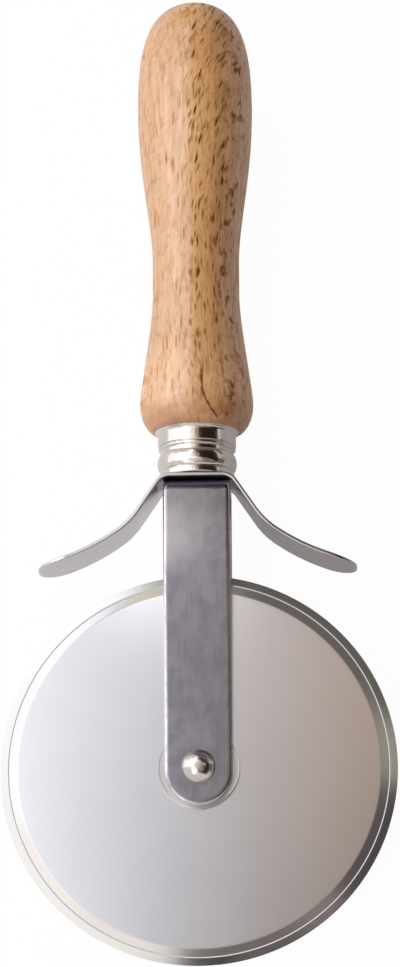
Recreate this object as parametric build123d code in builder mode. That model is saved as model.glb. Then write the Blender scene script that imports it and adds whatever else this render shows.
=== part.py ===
from build123d import *
import math
import os

# A hand-held pizza cutter lying on its back. The axle points up along Z, the handle runs
# along Y, and the origin is the centre of the cutting wheel, half way through the blade.
# All sizes are in millimetres.

# Cutting wheel
wheel_diameter = 100.0
blade_thickness = 1.4
edge_thickness = 0.2
outer_bevel_width = 1.9
step_width = 0.35
inner_bevel_width = 1.85
inner_bevel_drop = 0.28
step_rise = 0.10

# Axle, bush and spacer washers
shank_diameter = 4.0
shank_clearance = 0.03
bush_wall = 1.0
running_clearance = 0.06
spacer_diameter = 20.6
spacer_thickness = 1.0
side_clearance = 0.10

# Domed rivet heads
dome_diameter = 8.7
dome_height = 2.6
dimple_diameter = 1.8
dimple_depth = 0.18
socket_depth = 1.2
socket_end_gap = 0.1

# Fork, a steel strap bent into a U
strap_width = 17.0
strap_thickness = 2.0
arm_end_reach = 9.8
knee_margin = 3.0
knee_radius = 60.0
shoulder_drop = 18.0
shoulder_radius = 150.0
bend_inner_radius = 1.2
wheel_to_bridge = 22.2
strap_edge_radius = 1.0

# Finger guard, a thinner strap of two wings
guard_width = 17.0
guard_thickness = 1.0
guard_bend_radius = 1.0
guard_seat_clearance = 0.4
wing_root_angle = 56.0
wing_root_run = 10.3
wing_shoulder_radius = 19.5
wing_shoulder_angle = 21.0
wing_sweep_radius = 54.5
wing_sweep_angle = 21.0
wing_tip_run = 2.2
wing_corner_radius = 6.0

# Ferrule, a polished cup with a flared rim
ferrule_height = 12.3
ferrule_floor = 0.8
ferrule_wall = 0.75
rim_diameter = 21.4
rim_height = 1.3
band_diameter = 19.9
bead_height = 1.05
bead_proud = 0.35
groove_diameter = 18.6
groove_height = 0.9
barrel_diameter = 20.1
barrel_height = 4.5
lip_diameter = 18.9
lip_height = 1.7
lip_edge_radius = 0.4

# Turned handle
handle_length = 114.8
handle_base_inset = 0.1
flare_diameter = 28.9
flare_height = 7.4
waist_diameter = 22.2
waist_height = 36.4
waist_length = 9.0
bulb_diameter = 29.5
bulb_to_end = 28.4
base_round = 4.3
base_flat = 1.8
flare_lead = 4.0
waist_lower_lead = 8.0
waist_upper_lead = 10.0
bulb_lower_lead = 18.0
crown_shoulder = 18.5
crown_flat = 11.5
spigot_clearance = 0.05
spigot_end_gap = 0.3

# Mounting screw and its washer
screw_diameter = 4.0
screw_length = 38.0
screw_tip_length = 4.0
screw_hole_clearance = 0.15
pilot_clearance = 0.03
pilot_end_gap = 0.5
screw_head_diameter = 6.6
screw_head_height = 2.4
recess_width = 1.0
recess_length = 3.8
recess_depth = 1.2
screw_washer_diameter = 7.4
screw_washer_thickness = 0.8
screw_washer_room = 0.3

# Places along the axle, from the middle of the blade outwards
spacer_inner_face = blade_thickness / 2 + side_clearance
spacer_outer_face = spacer_inner_face + spacer_thickness
arm_inner_face = spacer_outer_face + side_clearance
arm_outer_face = arm_inner_face + strap_thickness

# Radii about the axle
shank_radius = shank_diameter / 2
shank_hole_radius = shank_radius + shank_clearance
bush_radius = shank_hole_radius + bush_wall
running_bore_radius = bush_radius + running_clearance
dome_radius = dome_diameter / 2
dimple_radius = dimple_diameter / 2
dome_sphere_radius = (dome_radius**2 + dome_height**2) / (2 * dome_height)

# Places along the handle, from the axle upwards
bridge_underside = wheel_diameter / 2 + wheel_to_bridge
bridge_top = bridge_underside + strap_thickness
guard_top = bridge_top + guard_thickness
ferrule_base = guard_top
handle_base = ferrule_base + ferrule_height
handle_top = handle_base + handle_length
screw_seat = bridge_underside - screw_washer_thickness
screw_tip = screw_seat + screw_length

# The fork is as deep at its bridge as the screw's washer and the two bends need
fork_half_depth = screw_washer_diameter / 2 + screw_washer_room + bend_inner_radius + strap_thickness
bend_outer_radius = bend_inner_radius + strap_thickness
knee_height = spacer_diameter / 2 + knee_margin
shoulder_height = bridge_top - shoulder_drop

# Radii about the handle's axis
bore_radius = groove_diameter / 2 - ferrule_wall
spigot_radius = bore_radius - spigot_clearance
screw_hole_radius = screw_diameter / 2 + screw_hole_clearance
pilot_radius = screw_diameter / 2 + pilot_clearance

os.makedirs("parts", exist_ok=True)


def dome_rise(radius):
    """Height of the rivet's dome above the arm at a distance from the axle."""
    return math.sqrt(dome_sphere_radius**2 - radius**2) - (dome_sphere_radius - dome_height)


def dome_outline(face, side, inner_radius):
    """Arc of a rivet's dome on an arm's face, from its rim to a circle near its top."""
    middle_radius = (dome_radius + inner_radius) / 2
    ThreePointArc(
        (dome_radius, side * face),
        (middle_radius, side * (face + dome_rise(middle_radius))),
        (inner_radius, side * (face + dome_rise(inner_radius))),
    )


# Cutting wheel: a flat disc, an inner bevel, a fine step up and the ground cutting bevel
wheel_radius = wheel_diameter / 2
step_outer_radius = wheel_radius - outer_bevel_width
step_inner_radius = step_outer_radius - step_width
flat_radius = step_inner_radius - inner_bevel_width
flat_face = blade_thickness / 2
step_foot = flat_face - inner_bevel_drop
step_crest = step_foot + step_rise
with BuildPart() as blade:
    with BuildSketch(Plane.XZ):
        with BuildLine():
            Polyline(
                (running_bore_radius, 0),
                (running_bore_radius, flat_face),
                (flat_radius, flat_face),
                (step_inner_radius, step_foot),
                (step_outer_radius, step_crest),
                (wheel_radius, edge_thickness / 2),
                (wheel_radius, 0),
                close=True,
            )
        make_face()
        mirror(about=Plane.XZ)
    revolve(axis=Axis.Z)
blade.part.label = "blade"
export_step(blade.part, "parts/blade.step")

# Front spacer washer, loose on the bush between the blade and the front arm
with BuildPart() as front_washer:
    with BuildSketch(Plane.XY.offset(spacer_inner_face)):
        Circle(spacer_diameter / 2)
        Circle(running_bore_radius, mode=Mode.SUBTRACT)
    extrude(amount=spacer_thickness)
front_washer.part.label = "front_washer"
export_step(front_washer.part, "parts/front_washer.step")

# Rear spacer washer, the same piece on the other side of the blade
with BuildPart() as rear_washer:
    with BuildSketch(Plane.XY.offset(-spacer_outer_face)):
        Circle(spacer_diameter / 2)
        Circle(running_bore_radius, mode=Mode.SUBTRACT)
    extrude(amount=spacer_thickness)
rear_washer.part.label = "rear_washer"
export_step(rear_washer.part, "parts/rear_washer.step")

# Bush: a sleeve clamped between the arms, which the blade and the washers turn on
with BuildPart() as axle_bush:
    with BuildSketch(Plane.XY.offset(-arm_inner_face)):
        Circle(bush_radius)
        Circle(shank_hole_radius, mode=Mode.SUBTRACT)
    extrude(amount=2 * arm_inner_face)
axle_bush.part.label = "axle_bush"
export_step(axle_bush.part, "parts/axle_bush.step")

# Rivet: a domed head with a small dimple at its top, on a shank that runs through to the cap
shank_end = arm_outer_face + socket_depth
with BuildPart() as axle_rivet:
    with BuildSketch(Plane.XZ):
        with BuildLine():
            Polyline(
                (0, arm_outer_face + dome_rise(dimple_radius) - dimple_depth),
                (0, -shank_end),
                (shank_radius, -shank_end),
                (shank_radius, arm_outer_face),
                (dome_radius, arm_outer_face),
            )
            dome_outline(arm_outer_face, 1, dimple_radius)
            Line(
                (dimple_radius, arm_outer_face + dome_rise(dimple_radius)),
                (0, arm_outer_face + dome_rise(dimple_radius) - dimple_depth),
            )
        make_face()
    revolve(axis=Axis.Z)
axle_rivet.part.label = "axle_rivet"
export_step(axle_rivet.part, "parts/axle_rivet.step")

# Rivet cap: the same dome on the rear arm, with a blind socket for the shank's end
socket_end = shank_end + socket_end_gap
with BuildPart() as rivet_cap:
    with BuildSketch(Plane.XZ):
        with BuildLine():
            Polyline(
                (0, -(arm_outer_face + dome_height)),
                (0, -socket_end),
                (shank_hole_radius, -socket_end),
                (shank_hole_radius, -arm_outer_face),
                (dome_radius, -arm_outer_face),
            )
            dome_outline(arm_outer_face, -1, 0)
        make_face()
    revolve(axis=Axis.Z)
rivet_cap.part.label = "rivet_cap"
export_step(rivet_cap.part, "parts/rivet_cap.step")

# Fork: the strap's outer skin as a block, with its rounded edges, less the slot inside it.
# The arms hang straight down from the bridge, lean in below their shoulders and end flat on
# the axle. The skin starts below the arms' ends, which the plan of the arms then cuts round.
arm_end_centre = strap_width / 2 - arm_end_reach
skin_start = -arm_end_reach - 2 * strap_thickness
with BuildPart() as fork:
    with BuildSketch(Plane.YZ) as skin:
        with BuildLine():
            FilletPolyline(
                (skin_start, arm_outer_face),
                (knee_height, arm_outer_face),
                (shoulder_height, fork_half_depth),
                (bridge_top, fork_half_depth),
                (bridge_top, 0),
                radius=(knee_radius, shoulder_radius, bend_outer_radius),
            )
            Polyline((bridge_top, 0), (skin_start, 0), (skin_start, arm_outer_face))
        make_face()
        mirror(about=Plane.XZ)
    extrude(amount=strap_width / 2, both=True)
    with BuildSketch():
        with Locations((0, arm_end_centre)):
            Circle(strap_width / 2)
            Rectangle(strap_width, bridge_top - arm_end_centre, align=(Align.CENTER, Align.MIN))
    extrude(amount=2 * fork_half_depth, both=True, mode=Mode.INTERSECT)
    outline_edges = fork.edges().filter_by(Axis.X, reverse=True).filter_by(Axis.Z, reverse=True)
    fillet(outline_edges, radius=strap_edge_radius)
    with BuildSketch(Plane.YZ):
        add(skin.sketch_local)
        offset(amount=-strap_thickness, mode=Mode.REPLACE)
    extrude(amount=strap_width, both=True, mode=Mode.SUBTRACT)
    Hole(shank_hole_radius)
    with BuildSketch(Plane.XZ.offset(-bridge_underside)):
        Circle(screw_hole_radius)
    extrude(amount=-2 * strap_thickness, mode=Mode.SUBTRACT)
fork.part.label = "fork"
export_step(fork.part, "parts/fork.step")

# Finger guard: one wing's upper skin from the middle to its tip, thickened and mirrored
guard_flat = strap_width / 2 - strap_edge_radius + guard_seat_clearance
with BuildPart() as finger_guard:
    with BuildSketch():
        with BuildLine():
            flat = Line((0, guard_top), (guard_flat, guard_top))
            root = JernArc(flat @ 1, flat % 1, guard_bend_radius + guard_thickness, -wing_root_angle)
            straight = Line(root @ 1, root @ 1 + (root % 1) * wing_root_run)
            shoulder = JernArc(straight @ 1, straight % 1, wing_shoulder_radius, wing_shoulder_angle)
            sweep_arc = JernArc(shoulder @ 1, shoulder % 1, wing_sweep_radius, wing_sweep_angle)
            Line(sweep_arc @ 1, sweep_arc @ 1 + (sweep_arc % 1) * wing_tip_run)
            offset(amount=guard_thickness, side=Side.RIGHT)
        make_face()
        mirror(about=Plane.YZ)
    extrude(amount=guard_width / 2, both=True)
    tip_corners = finger_guard.edges().filter_by(
        lambda edge: abs(edge.length - guard_thickness) < 0.001 and abs(edge.center().X) > guard_flat
    )
    fillet(tip_corners, radius=wing_corner_radius)
    with BuildSketch(Plane.XZ.offset(-bridge_top)):
        Circle(screw_hole_radius)
    extrude(amount=-2 * guard_thickness, mode=Mode.SUBTRACT)
finger_guard.part.label = "finger_guard"
export_step(finger_guard.part, "parts/finger_guard.step")

# Ferrule: lip, barrel, groove, bead, band and flared rim outside, a plain bore inside
lip_radius = lip_diameter / 2
groove_radius = groove_diameter / 2
band_radius = band_diameter / 2
barrel_start = ferrule_base + lip_height
groove_start = barrel_start + barrel_height
bead_start = groove_start + groove_height
band_start = bead_start + bead_height
rim_start = handle_base - rim_height
floor_top = ferrule_base + ferrule_floor
with BuildPart() as ferrule:
    with BuildSketch():
        with BuildLine():
            Polyline(
                (lip_radius, barrel_start),
                (lip_radius, ferrule_base + lip_edge_radius),
                (lip_radius - lip_edge_radius, ferrule_base),
                (screw_hole_radius, ferrule_base),
                (screw_hole_radius, floor_top),
                (bore_radius, floor_top),
                (bore_radius, handle_base),
                (rim_diameter / 2, handle_base),
            )
            Bezier(
                (rim_diameter / 2, handle_base),
                (band_radius, handle_base - rim_height / 3),
                (band_radius, rim_start),
            )
            Polyline(
                (band_radius, rim_start),
                (band_radius, band_start),
                (band_radius - bead_proud, band_start),
            )
            Bezier(
                (band_radius - bead_proud, band_start),
                (band_radius, bead_start + bead_height / 2),
                (groove_radius, bead_start),
            )
            Line((groove_radius, bead_start), (groove_radius, groove_start))
            ThreePointArc(
                (groove_radius, groove_start),
                (barrel_diameter / 2, barrel_start + barrel_height / 2),
                (lip_radius, barrel_start),
            )
        make_face()
    revolve(axis=Axis.Y)
ferrule.part.label = "ferrule"
export_step(ferrule.part, "parts/ferrule.step")

# Handle: a turned outline from the spigot's end up over the flare, waist and bulb to the crown
base_radius = rim_diameter / 2 - handle_base_inset
flare_radius = flare_diameter / 2
waist_radius = waist_diameter / 2
bulb_radius = bulb_diameter / 2
flare_level = handle_base + flare_height
waist_bottom = handle_base + waist_height
waist_top = waist_bottom + waist_length
bulb_level = handle_top - bulb_to_end
spigot_end = floor_top + spigot_end_gap
pilot_end = screw_tip + pilot_end_gap
with BuildPart() as handle:
    with BuildSketch():
        with BuildLine():
            Polyline(
                (0, handle_top),
                (0, pilot_end),
                (pilot_radius, pilot_end),
                (pilot_radius, spigot_end),
                (spigot_radius, spigot_end),
                (spigot_radius, handle_base),
                (base_radius, handle_base),
            )
            Bezier(
                (base_radius, handle_base),
                (base_radius + base_flat, handle_base),
                (flare_radius, flare_level - base_round),
                (flare_radius, flare_level),
            )
            Bezier(
                (flare_radius, flare_level),
                (flare_radius, flare_level + flare_lead),
                (waist_radius, waist_bottom - waist_lower_lead),
                (waist_radius, waist_bottom),
            )
            Line((waist_radius, waist_bottom), (waist_radius, waist_top))
            Bezier(
                (waist_radius, waist_top),
                (waist_radius, waist_top + waist_upper_lead),
                (bulb_radius, bulb_level - bulb_lower_lead),
                (bulb_radius, bulb_level),
            )
            Bezier(
                (bulb_radius, bulb_level),
                (bulb_radius, bulb_level + crown_shoulder),
                (crown_flat, handle_top),
                (0, handle_top),
            )
        make_face()
    revolve(axis=Axis.Y)
handle.part.label = "handle"
export_step(handle.part, "parts/handle.step")

# Mounting screw: a pan head inside the fork and a plain shank with a point, up into the handle
screw_radius = screw_diameter / 2
head_bottom = screw_seat - screw_head_height
with BuildPart() as mounting_screw:
    with BuildSketch():
        with BuildLine():
            Polyline(
                (0, head_bottom),
                (0, screw_tip),
                (screw_radius, screw_tip - screw_tip_length),
                (screw_radius, screw_seat),
                (screw_head_diameter / 2, screw_seat),
            )
            Bezier(
                (screw_head_diameter / 2, screw_seat),
                (screw_head_diameter / 2, head_bottom),
                (0, head_bottom),
            )
        make_face()
    revolve(axis=Axis.Y)
    with BuildSketch(Plane.XZ.offset(-head_bottom)):
        Rectangle(recess_length, recess_width)
        Rectangle(recess_width, recess_length)
    extrude(amount=-recess_depth, mode=Mode.SUBTRACT)
mounting_screw.part.label = "mounting_screw"
export_step(mounting_screw.part, "parts/mounting_screw.step")

# Washer under the screw's head
with BuildPart() as screw_washer:
    with BuildSketch(Plane.XZ.offset(-screw_seat)):
        Circle(screw_washer_diameter / 2)
        Circle(screw_hole_radius, mode=Mode.SUBTRACT)
    extrude(amount=-screw_washer_thickness)
screw_washer.part.label = "screw_washer"
export_step(screw_washer.part, "parts/screw_washer.step")
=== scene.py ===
# %% [markdown]
# # A pizza cutter, dressed for its portrait
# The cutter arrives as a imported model: twelve plain solids in metres, with the wheel's centre at
# the origin, the handle along +Y and the axle along +Z. The solids are right in size and place but
# bare. In this lesson each piece that shows gets a smooth skin of its own and a finish, and then a
# small studio is built round it.

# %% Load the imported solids
import math

import bmesh
import bpy
import numpy as np
from mathutils import Matrix, Vector


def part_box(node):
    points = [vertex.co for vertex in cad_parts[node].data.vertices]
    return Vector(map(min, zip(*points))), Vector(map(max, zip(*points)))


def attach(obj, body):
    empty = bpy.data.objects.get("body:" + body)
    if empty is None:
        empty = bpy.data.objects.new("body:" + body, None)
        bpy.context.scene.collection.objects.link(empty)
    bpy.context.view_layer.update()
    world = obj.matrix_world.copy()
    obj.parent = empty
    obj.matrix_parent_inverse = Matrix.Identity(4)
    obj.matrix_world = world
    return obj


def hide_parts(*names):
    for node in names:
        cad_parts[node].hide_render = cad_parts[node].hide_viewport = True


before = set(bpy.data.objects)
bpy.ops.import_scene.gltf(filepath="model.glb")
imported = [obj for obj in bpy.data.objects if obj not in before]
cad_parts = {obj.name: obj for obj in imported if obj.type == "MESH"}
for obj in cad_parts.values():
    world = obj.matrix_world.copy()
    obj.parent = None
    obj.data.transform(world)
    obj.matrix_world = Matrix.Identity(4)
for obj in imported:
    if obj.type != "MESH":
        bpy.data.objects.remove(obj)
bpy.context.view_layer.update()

MM = 0.001
print("solids:", ", ".join(sorted(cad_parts)))

# %% [markdown]
# ## From a grid of points to a piece
# Almost every part of this cutter was either turned on a lathe or bent from flat strap. Both are
# surfaces with two parameters: a turned part has a place on its profile and an angle, a strap has a
# place along and a place around its section. So one helper is enough to make every mesh here. It
# takes a grid of points whose columns close into a ring, and joins neighbours into four-sided faces.
# Where a row shrinks to a point, or the last row falls on the first, the doubles are merged, and
# after that the faces are turned outwards.

# %% The mesh helper
merge_distance = 0.0005 * MM


def skin(name, grid, body, node, sharp=38.0, uv=None, layers=None):
    """Makes a piece from a grid of points (rows, columns, 3) in mm, with its columns closed into rings.

    Face (i, j) joins the points (i, j), (i, j+1), (i+1, j+1) and (i+1, j). Edges that bend by more
    than `sharp` degrees stay crisp. `uv` is a grid (rows, columns + 1, 2) and `layers` holds one
    number per point for each name.
    """
    rows, columns = grid.shape[:2]
    index = np.arange(rows * columns).reshape(rows, columns)
    index = np.hstack([index, index[:, :1]])
    faces = np.stack([index[:-1, :-1], index[:-1, 1:], index[1:, 1:], index[1:, :-1]], axis=-1)
    mesh = bpy.data.meshes.new(name)
    mesh.from_pydata((grid * MM).reshape(-1, 3).tolist(), [], faces.reshape(-1, 4).tolist())
    if uv is not None:
        corners = np.stack([uv[:-1, :-1], uv[:-1, 1:], uv[1:, 1:], uv[1:, :-1]], axis=2)
        mesh.uv_layers.new(name="strap").data.foreach_set("uv", (corners * MM).ravel())
    for layer, values in (layers or {}).items():
        mesh.attributes.new(layer, "FLOAT", "POINT").data.foreach_set("value", values.ravel())
    work = bmesh.new()
    work.from_mesh(mesh)
    bmesh.ops.remove_doubles(work, verts=work.verts, dist=merge_distance)
    bmesh.ops.recalc_face_normals(work, faces=work.faces)
    open_edges = sum(1 for edge in work.edges if not edge.is_manifold)
    work.to_mesh(mesh)
    work.free()
    mesh.shade_smooth()
    mesh.set_sharp_from_angle(angle=math.radians(sharp))
    piece = bpy.data.objects.new(name, mesh)
    bpy.context.scene.collection.objects.link(piece)
    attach(piece, body)
    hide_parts(node)
    print(f"{name}: {len(mesh.vertices)} points, {len(mesh.polygons)} faces, {open_edges} open edges")
    return piece


# %% [markdown]
# ## Profiles for the lathe
# A turner works to a profile, so the helpers here draw one. A Bezier curve gives the long swells of
# the wood. Everything in metal is a run of straight cuts whose corners were broken with a file: a
# corner is replaced by a small curve, and a guard point is set just before and after it so that the
# flat beside it keeps its own shading.

# %% The profile helpers
corner_steps = 7
guard_share = 1.2


def bezier(points, count):
    """A curve from the first point to the last, pulled by those between.

    It is the sum of each point times its binomial weight C(n, k) t^k (1 - t)^(n - k).
    """
    points = np.asarray(points, float)
    degree = len(points) - 1
    t = np.linspace(0, 1, count)[:, None]
    power = np.arange(degree + 1)
    choose = np.array([math.comb(degree, k) for k in power])
    return (choose * t**power * (1 - t)**(degree - power)) @ points


def broken_corners(corners, cut):
    """A closed run of straight cuts whose corners are eased.

    Each corner gives way to the curve (1 - t)^2 a + 2 t (1 - t) corner + t^2 b, where a and b lie
    `cut` before and after it, with a guard point beyond each.
    """
    corners = np.asarray(corners, float)
    cut = np.broadcast_to(np.asarray(cut, float), len(corners))[:, None]
    before = np.roll(corners, 1, axis=0) - corners
    after = np.roll(corners, -1, axis=0) - corners
    before = before / np.linalg.norm(before, axis=1, keepdims=True) * cut
    after = after / np.linalg.norm(after, axis=1, keepdims=True) * cut
    t = np.linspace(0, 1, corner_steps)[:, None, None]
    curve = (1 - t)**2 * (corners + before) + 2 * t * (1 - t) * corners + t**2 * (corners + after)
    first = (corners + before * guard_share)[None]
    last = (corners + after * guard_share)[None]
    eased = np.concatenate([first, curve, last]).transpose(1, 0, 2).reshape(-1, 2)
    return np.vstack([eased, eased[:1]])


def turned(profile, steps, along="Y"):
    """A profile of radii and places along the axis, swept round it.

    The point at radius r and angle a lies at (r cos a, place, r sin a) for the handle's axis, and
    at (r cos a, r sin a, place) for the axle.
    """
    angle = np.linspace(0, 2 * np.pi, steps, endpoint=False)
    radius = profile[:, :1]
    place = np.broadcast_to(profile[:, 1:], (len(profile), steps))
    sides = [radius * np.cos(angle), radius * np.sin(angle)]
    order = [sides[0], place, sides[1]] if along == "Y" else [sides[0], sides[1], place]
    return np.stack(order, axis=-1)


# %% [markdown]
# ## The handle
# The handle is one piece of beech, turned to a bulb for the palm, a waist for the fingers and a
# flare above the ferrule, with a spigot that is hidden in the ferrule. It could be a subdivided
# cylinder pushed into shape, but the swell of turned wood is exactly a few Bezier curves that meet
# without a kink, so the profile is drawn and swept.

# %% Turn the handle
lathe_steps = 192
handle_low, handle_high = (corner.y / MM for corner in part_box("handle"))
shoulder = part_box("ferrule")[1].y / MM
bulb_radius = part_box("handle")[1].x / MM
flare_radius = 14.45
waist_radius = 11.1
spigot_radius = 8.5
spigot_cut = 0.3
seat_guard = 0.05
base_radius = 10.6
base_guard = 0.2
base_flat = 1.8
base_round = 4.3
# A lead is how far a curve's pull reaches along the handle
flare_place = shoulder + 7.4
flare_lead = 4.0
waist_place = shoulder + 36.4
waist_end = waist_place + 9.0
waist_leads = (8.0, 10.0)
bulb_place = shoulder + 86.4
bulb_leads = (18.0, 18.5)
crown_flat = 11.5
handle_profile = np.vstack([
    [[0, handle_low], [spigot_radius - spigot_cut, handle_low], [spigot_radius, handle_low + spigot_cut]],
    [[spigot_radius, shoulder - seat_guard], [spigot_radius, shoulder]],
    [[base_radius - base_guard, shoulder]],
    bezier([[base_radius, shoulder], [base_radius + base_flat, shoulder],
            [flare_radius, flare_place - base_round], [flare_radius, flare_place]], 26),
    bezier([[flare_radius, flare_place], [flare_radius, flare_place + flare_lead],
            [waist_radius, waist_place - waist_leads[0]], [waist_radius, waist_place]], 40)[1:],
    bezier([[waist_radius, waist_end], [waist_radius, waist_end + waist_leads[1]],
            [bulb_radius, bulb_place - bulb_leads[0]], [bulb_radius, bulb_place]], 48),
    bezier([[bulb_radius, bulb_place], [bulb_radius, bulb_place + bulb_leads[1]],
            [crown_flat, handle_high], [0, handle_high]], 64)[1:],
])
handle = skin("beech_handle", turned(handle_profile, lathe_steps), "frame", "handle")

# %% [markdown]
# ## The ferrule
# The collar is a polished nickel cup. From the top it has a rim that flares under the wood, a plain
# band, a small bead, a dark groove, a swelling barrel and a lip that sits on the guard. Modelling
# each ring as its own torus would leave seams, so the whole cup is one closed profile, with the bore
# inside, and the lathe does the rest. Its heights are counted from the cup's base.

# %% Turn the ferrule
ferrule_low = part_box("ferrule")[0].y / MM
ferrule_height = shoulder - ferrule_low
rim_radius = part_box("ferrule")[1].x / MM
lip_radius = 9.45
groove_radius = 9.3
band_radius = 9.95
bore_radius = 8.55
screw_hole_radius = 2.15
floor_thickness = 0.8
lip_guards = (0.45, 0.38)
lip_edge = 0.36
lip_side = 1.25
lip_crest = 1.5
lip_top = 1.55
lip_round = 0.22
seam_inset = 0.26
seam_height = 1.63
# Pulls are the heights of the points that draw a curve out
barrel_low = 1.82
barrel_swell = 10.35
barrel_pulls = (2.6, 5.2)
barrel_high = 6.2
groove_low = 6.3
groove_high = 7.0
bead_low = 7.1
bead_swell = 9.98
bead_pulls = (7.25, 8.0)
bead_high = 8.15
band_inset = 0.33
band_low = 8.2
band_edge = 0.35
band_guards = (8.7, 10.9)
rim_low = 11.0
rim_pulls = (11.85, 11.95)
rim_inset = 0.1
rim_edge = 0.08
ferrule_profile = np.vstack([
    [[screw_hole_radius, 0], [lip_radius - lip_guards[0], 0], [lip_radius - lip_guards[1], 0]],
    bezier([[lip_radius - lip_edge, 0], [lip_radius, 0], [lip_radius, lip_edge]], 8),
    bezier([[lip_radius, lip_side], [lip_radius, lip_crest], [lip_radius - lip_round, lip_top]], 7),
    [[lip_radius - seam_inset, seam_height]],
    bezier([[lip_radius, barrel_low], [barrel_swell, barrel_pulls[0]],
            [barrel_swell, barrel_pulls[1]], [groove_radius, barrel_high]], 28),
    [[groove_radius, groove_low], [groove_radius, groove_high]],
    bezier([[groove_radius, bead_low], [bead_swell, bead_pulls[0]],
            [bead_swell, bead_pulls[1]], [band_radius - band_inset, bead_high]], 14),
    bezier([[band_radius - band_inset, band_low], [band_radius, band_low],
            [band_radius, band_low + band_edge]], 7),
    [[band_radius, band_guards[0]], [band_radius, band_guards[1]]],
    bezier([[band_radius, rim_low], [band_radius, rim_pulls[0]],
            [rim_radius - rim_inset, rim_pulls[1]], [rim_radius, ferrule_height - rim_edge]], 16),
    [[rim_radius - rim_edge, ferrule_height], [bore_radius, ferrule_height]],
    [[bore_radius, floor_thickness], [screw_hole_radius, floor_thickness], [screw_hole_radius, 0]],
]) + [0, ferrule_low]
ferrule = skin("nickel_ferrule", turned(ferrule_profile, lathe_steps),
               "frame", "ferrule")

# %% [markdown]
# ## Strap: a flat blank that is bent
# The guard and the fork are cut from flat strap, tumbled until the edges are round, and then bent on
# a jig. They could be extruded along a curve with a bevel, but then the round ends would be lost. So
# they are made as the workshop makes them: first a flat blank with rounded ends and eased edges,
# then a line that turns by a given angle over each stretch, and the blank laid along that line.

# %% The strap helpers
edge_columns = 9
flat_columns = 9
end_rows = 26
margin_limit = 0.999


def blank(half_length, half_width, corner, row_step):
    """Places along a flat strap (rows, 1), and its half width at each of them.

    The outline is a rectangle with rounded corners. Its half width shrinks over the last stretch as
    w - r + sqrt(r^2 - x^2), with x the way into the corner.
    """
    straight = half_length - corner
    turn = np.linspace(0, np.pi / 2, end_rows)[1:]
    corner_rows = straight + corner * np.sin(turn)
    half = np.concatenate([np.arange(0, straight, row_step), [straight], corner_rows])
    along = np.concatenate([-half[:0:-1], half])[:, None]
    into = np.clip(np.abs(along) - straight, 0, corner)
    width = half_width - corner + np.sqrt(corner**2 - into**2)
    return along, width


def across_strap(width, reach):
    """Places across the strap: a share of the flat middle, and fixed distances from each edge.

    The distances grow as reach (1 - cos p) for an even run of angles p, and one guard column more.
    """
    angle = np.linspace(0, np.pi / 2, edge_columns)
    share = np.append((1 - np.cos(angle)) / guard_share, 1)
    margin = np.minimum(reach * guard_share, width * margin_limit)
    left = -width + margin * share
    middle = (width - margin) * np.linspace(-1, 1, flat_columns + 2)[1:-1]
    return np.hstack([left, middle, -left[:, ::-1]])


def edge_drop(distance, reach, depth):
    """How far an eased edge lies below the flat: depth (1 - sqrt(1 - (1 - d / reach)^2))."""
    inward = np.clip(1 - distance / reach, 0, 1)
    return depth * (1 - np.sqrt(1 - inward**2))


def strap(half_length, half_width, thickness, corner, top_edge, under_edge, row_step=0.3):
    """A closed strap as a grid of (along, across, height), with the distance to its outline.

    Columns run over the top from one edge to the other and back underneath. The heights are half
    the thickness less the edge's drop. A last row at each end closes the strap at mid height.
    """
    along, width = blank(half_length, half_width, corner, row_step)
    top = across_strap(width, top_edge[0])
    under = across_strap(width, under_edge[0])[:, ::-1]
    across = np.hstack([top, under])
    along = np.broadcast_to(along, across.shape)
    out_along = np.abs(along) - (half_length - corner)
    out_across = np.abs(across) - (half_width - corner)
    outside = np.hypot(np.maximum(out_along, 0), np.maximum(out_across, 0))
    inside = np.minimum(np.maximum(out_along, out_across), 0)
    distance = np.maximum(corner - outside - inside, 0)
    count = top.shape[1]
    height = np.hstack([thickness / 2 - edge_drop(distance[:, :count], *top_edge),
                        edge_drop(distance[:, count:], *under_edge) - thickness / 2])
    grid = np.stack([along, across, height], axis=-1)
    closing = grid[[0, -1]] * [1, 1, 0]
    grid = np.concatenate([closing[:1], grid, closing[1:]])
    return grid, np.pad(distance, ((1, 1), (0, 0)))


# %% [markdown]
# ## Bending the blank
# On the jig the strap bends but doesn't stretch, so a place along the blank is the same length along
# the bent line. That line is given as stretches, each with a length and the angle that it turns by.
# Arcs could be fitted one after the other, with a formula for each. Adding up the line's direction in
# small steps gives the place and the heading everywhere, for any run of bends.

# %% The bend helpers
bend_samples = 24001


def bend(along, stretches):
    """Follows a centre line that starts level and turns evenly by each stretch's angle.

    The heading is the sum of the turns so far, and the place is the integral of its cosine (out)
    and sine (up). The half line is mirrored for the other half of the strap.
    """
    lengths, turns = np.array(stretches).T
    knots = np.append(0, np.cumsum(lengths))
    headings = np.append(0, np.cumsum(np.radians(turns)))
    fine = np.linspace(0, knots[-1], bend_samples)
    heading = np.interp(fine, knots, headings)
    middle = (heading[1:] + heading[:-1]) / 2
    step = fine[1] - fine[0]
    out = np.append(0, np.cumsum(np.cos(middle))) * step
    up = np.append(0, np.cumsum(np.sin(middle))) * step
    place = np.abs(along)
    side = np.sign(along)
    out_there, up_there, heading_there = (np.interp(place, fine, values) for values in (out, up, heading))
    return side * out_there, up_there, side * heading_there


def arc(radius, angle):
    """A stretch of constant curvature: its length is the radius times the turn."""
    return (radius * math.radians(abs(angle)), angle)


def strap_map(flat):
    """The places along and across the flat strap, with the first column repeated to close the ring."""
    return np.concatenate([flat[..., :2], flat[:, :1, :2]], axis=1)


# %% [markdown]
# ## The finger guard
# The guard is a thin strap across the neck whose two wings dip, run straight and then sweep out
# almost level, so that a finger can push on them. Its tips are rounded like a spatula's. Each bend
# is given as a radius and an angle, which is how a bending jig is set.

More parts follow.
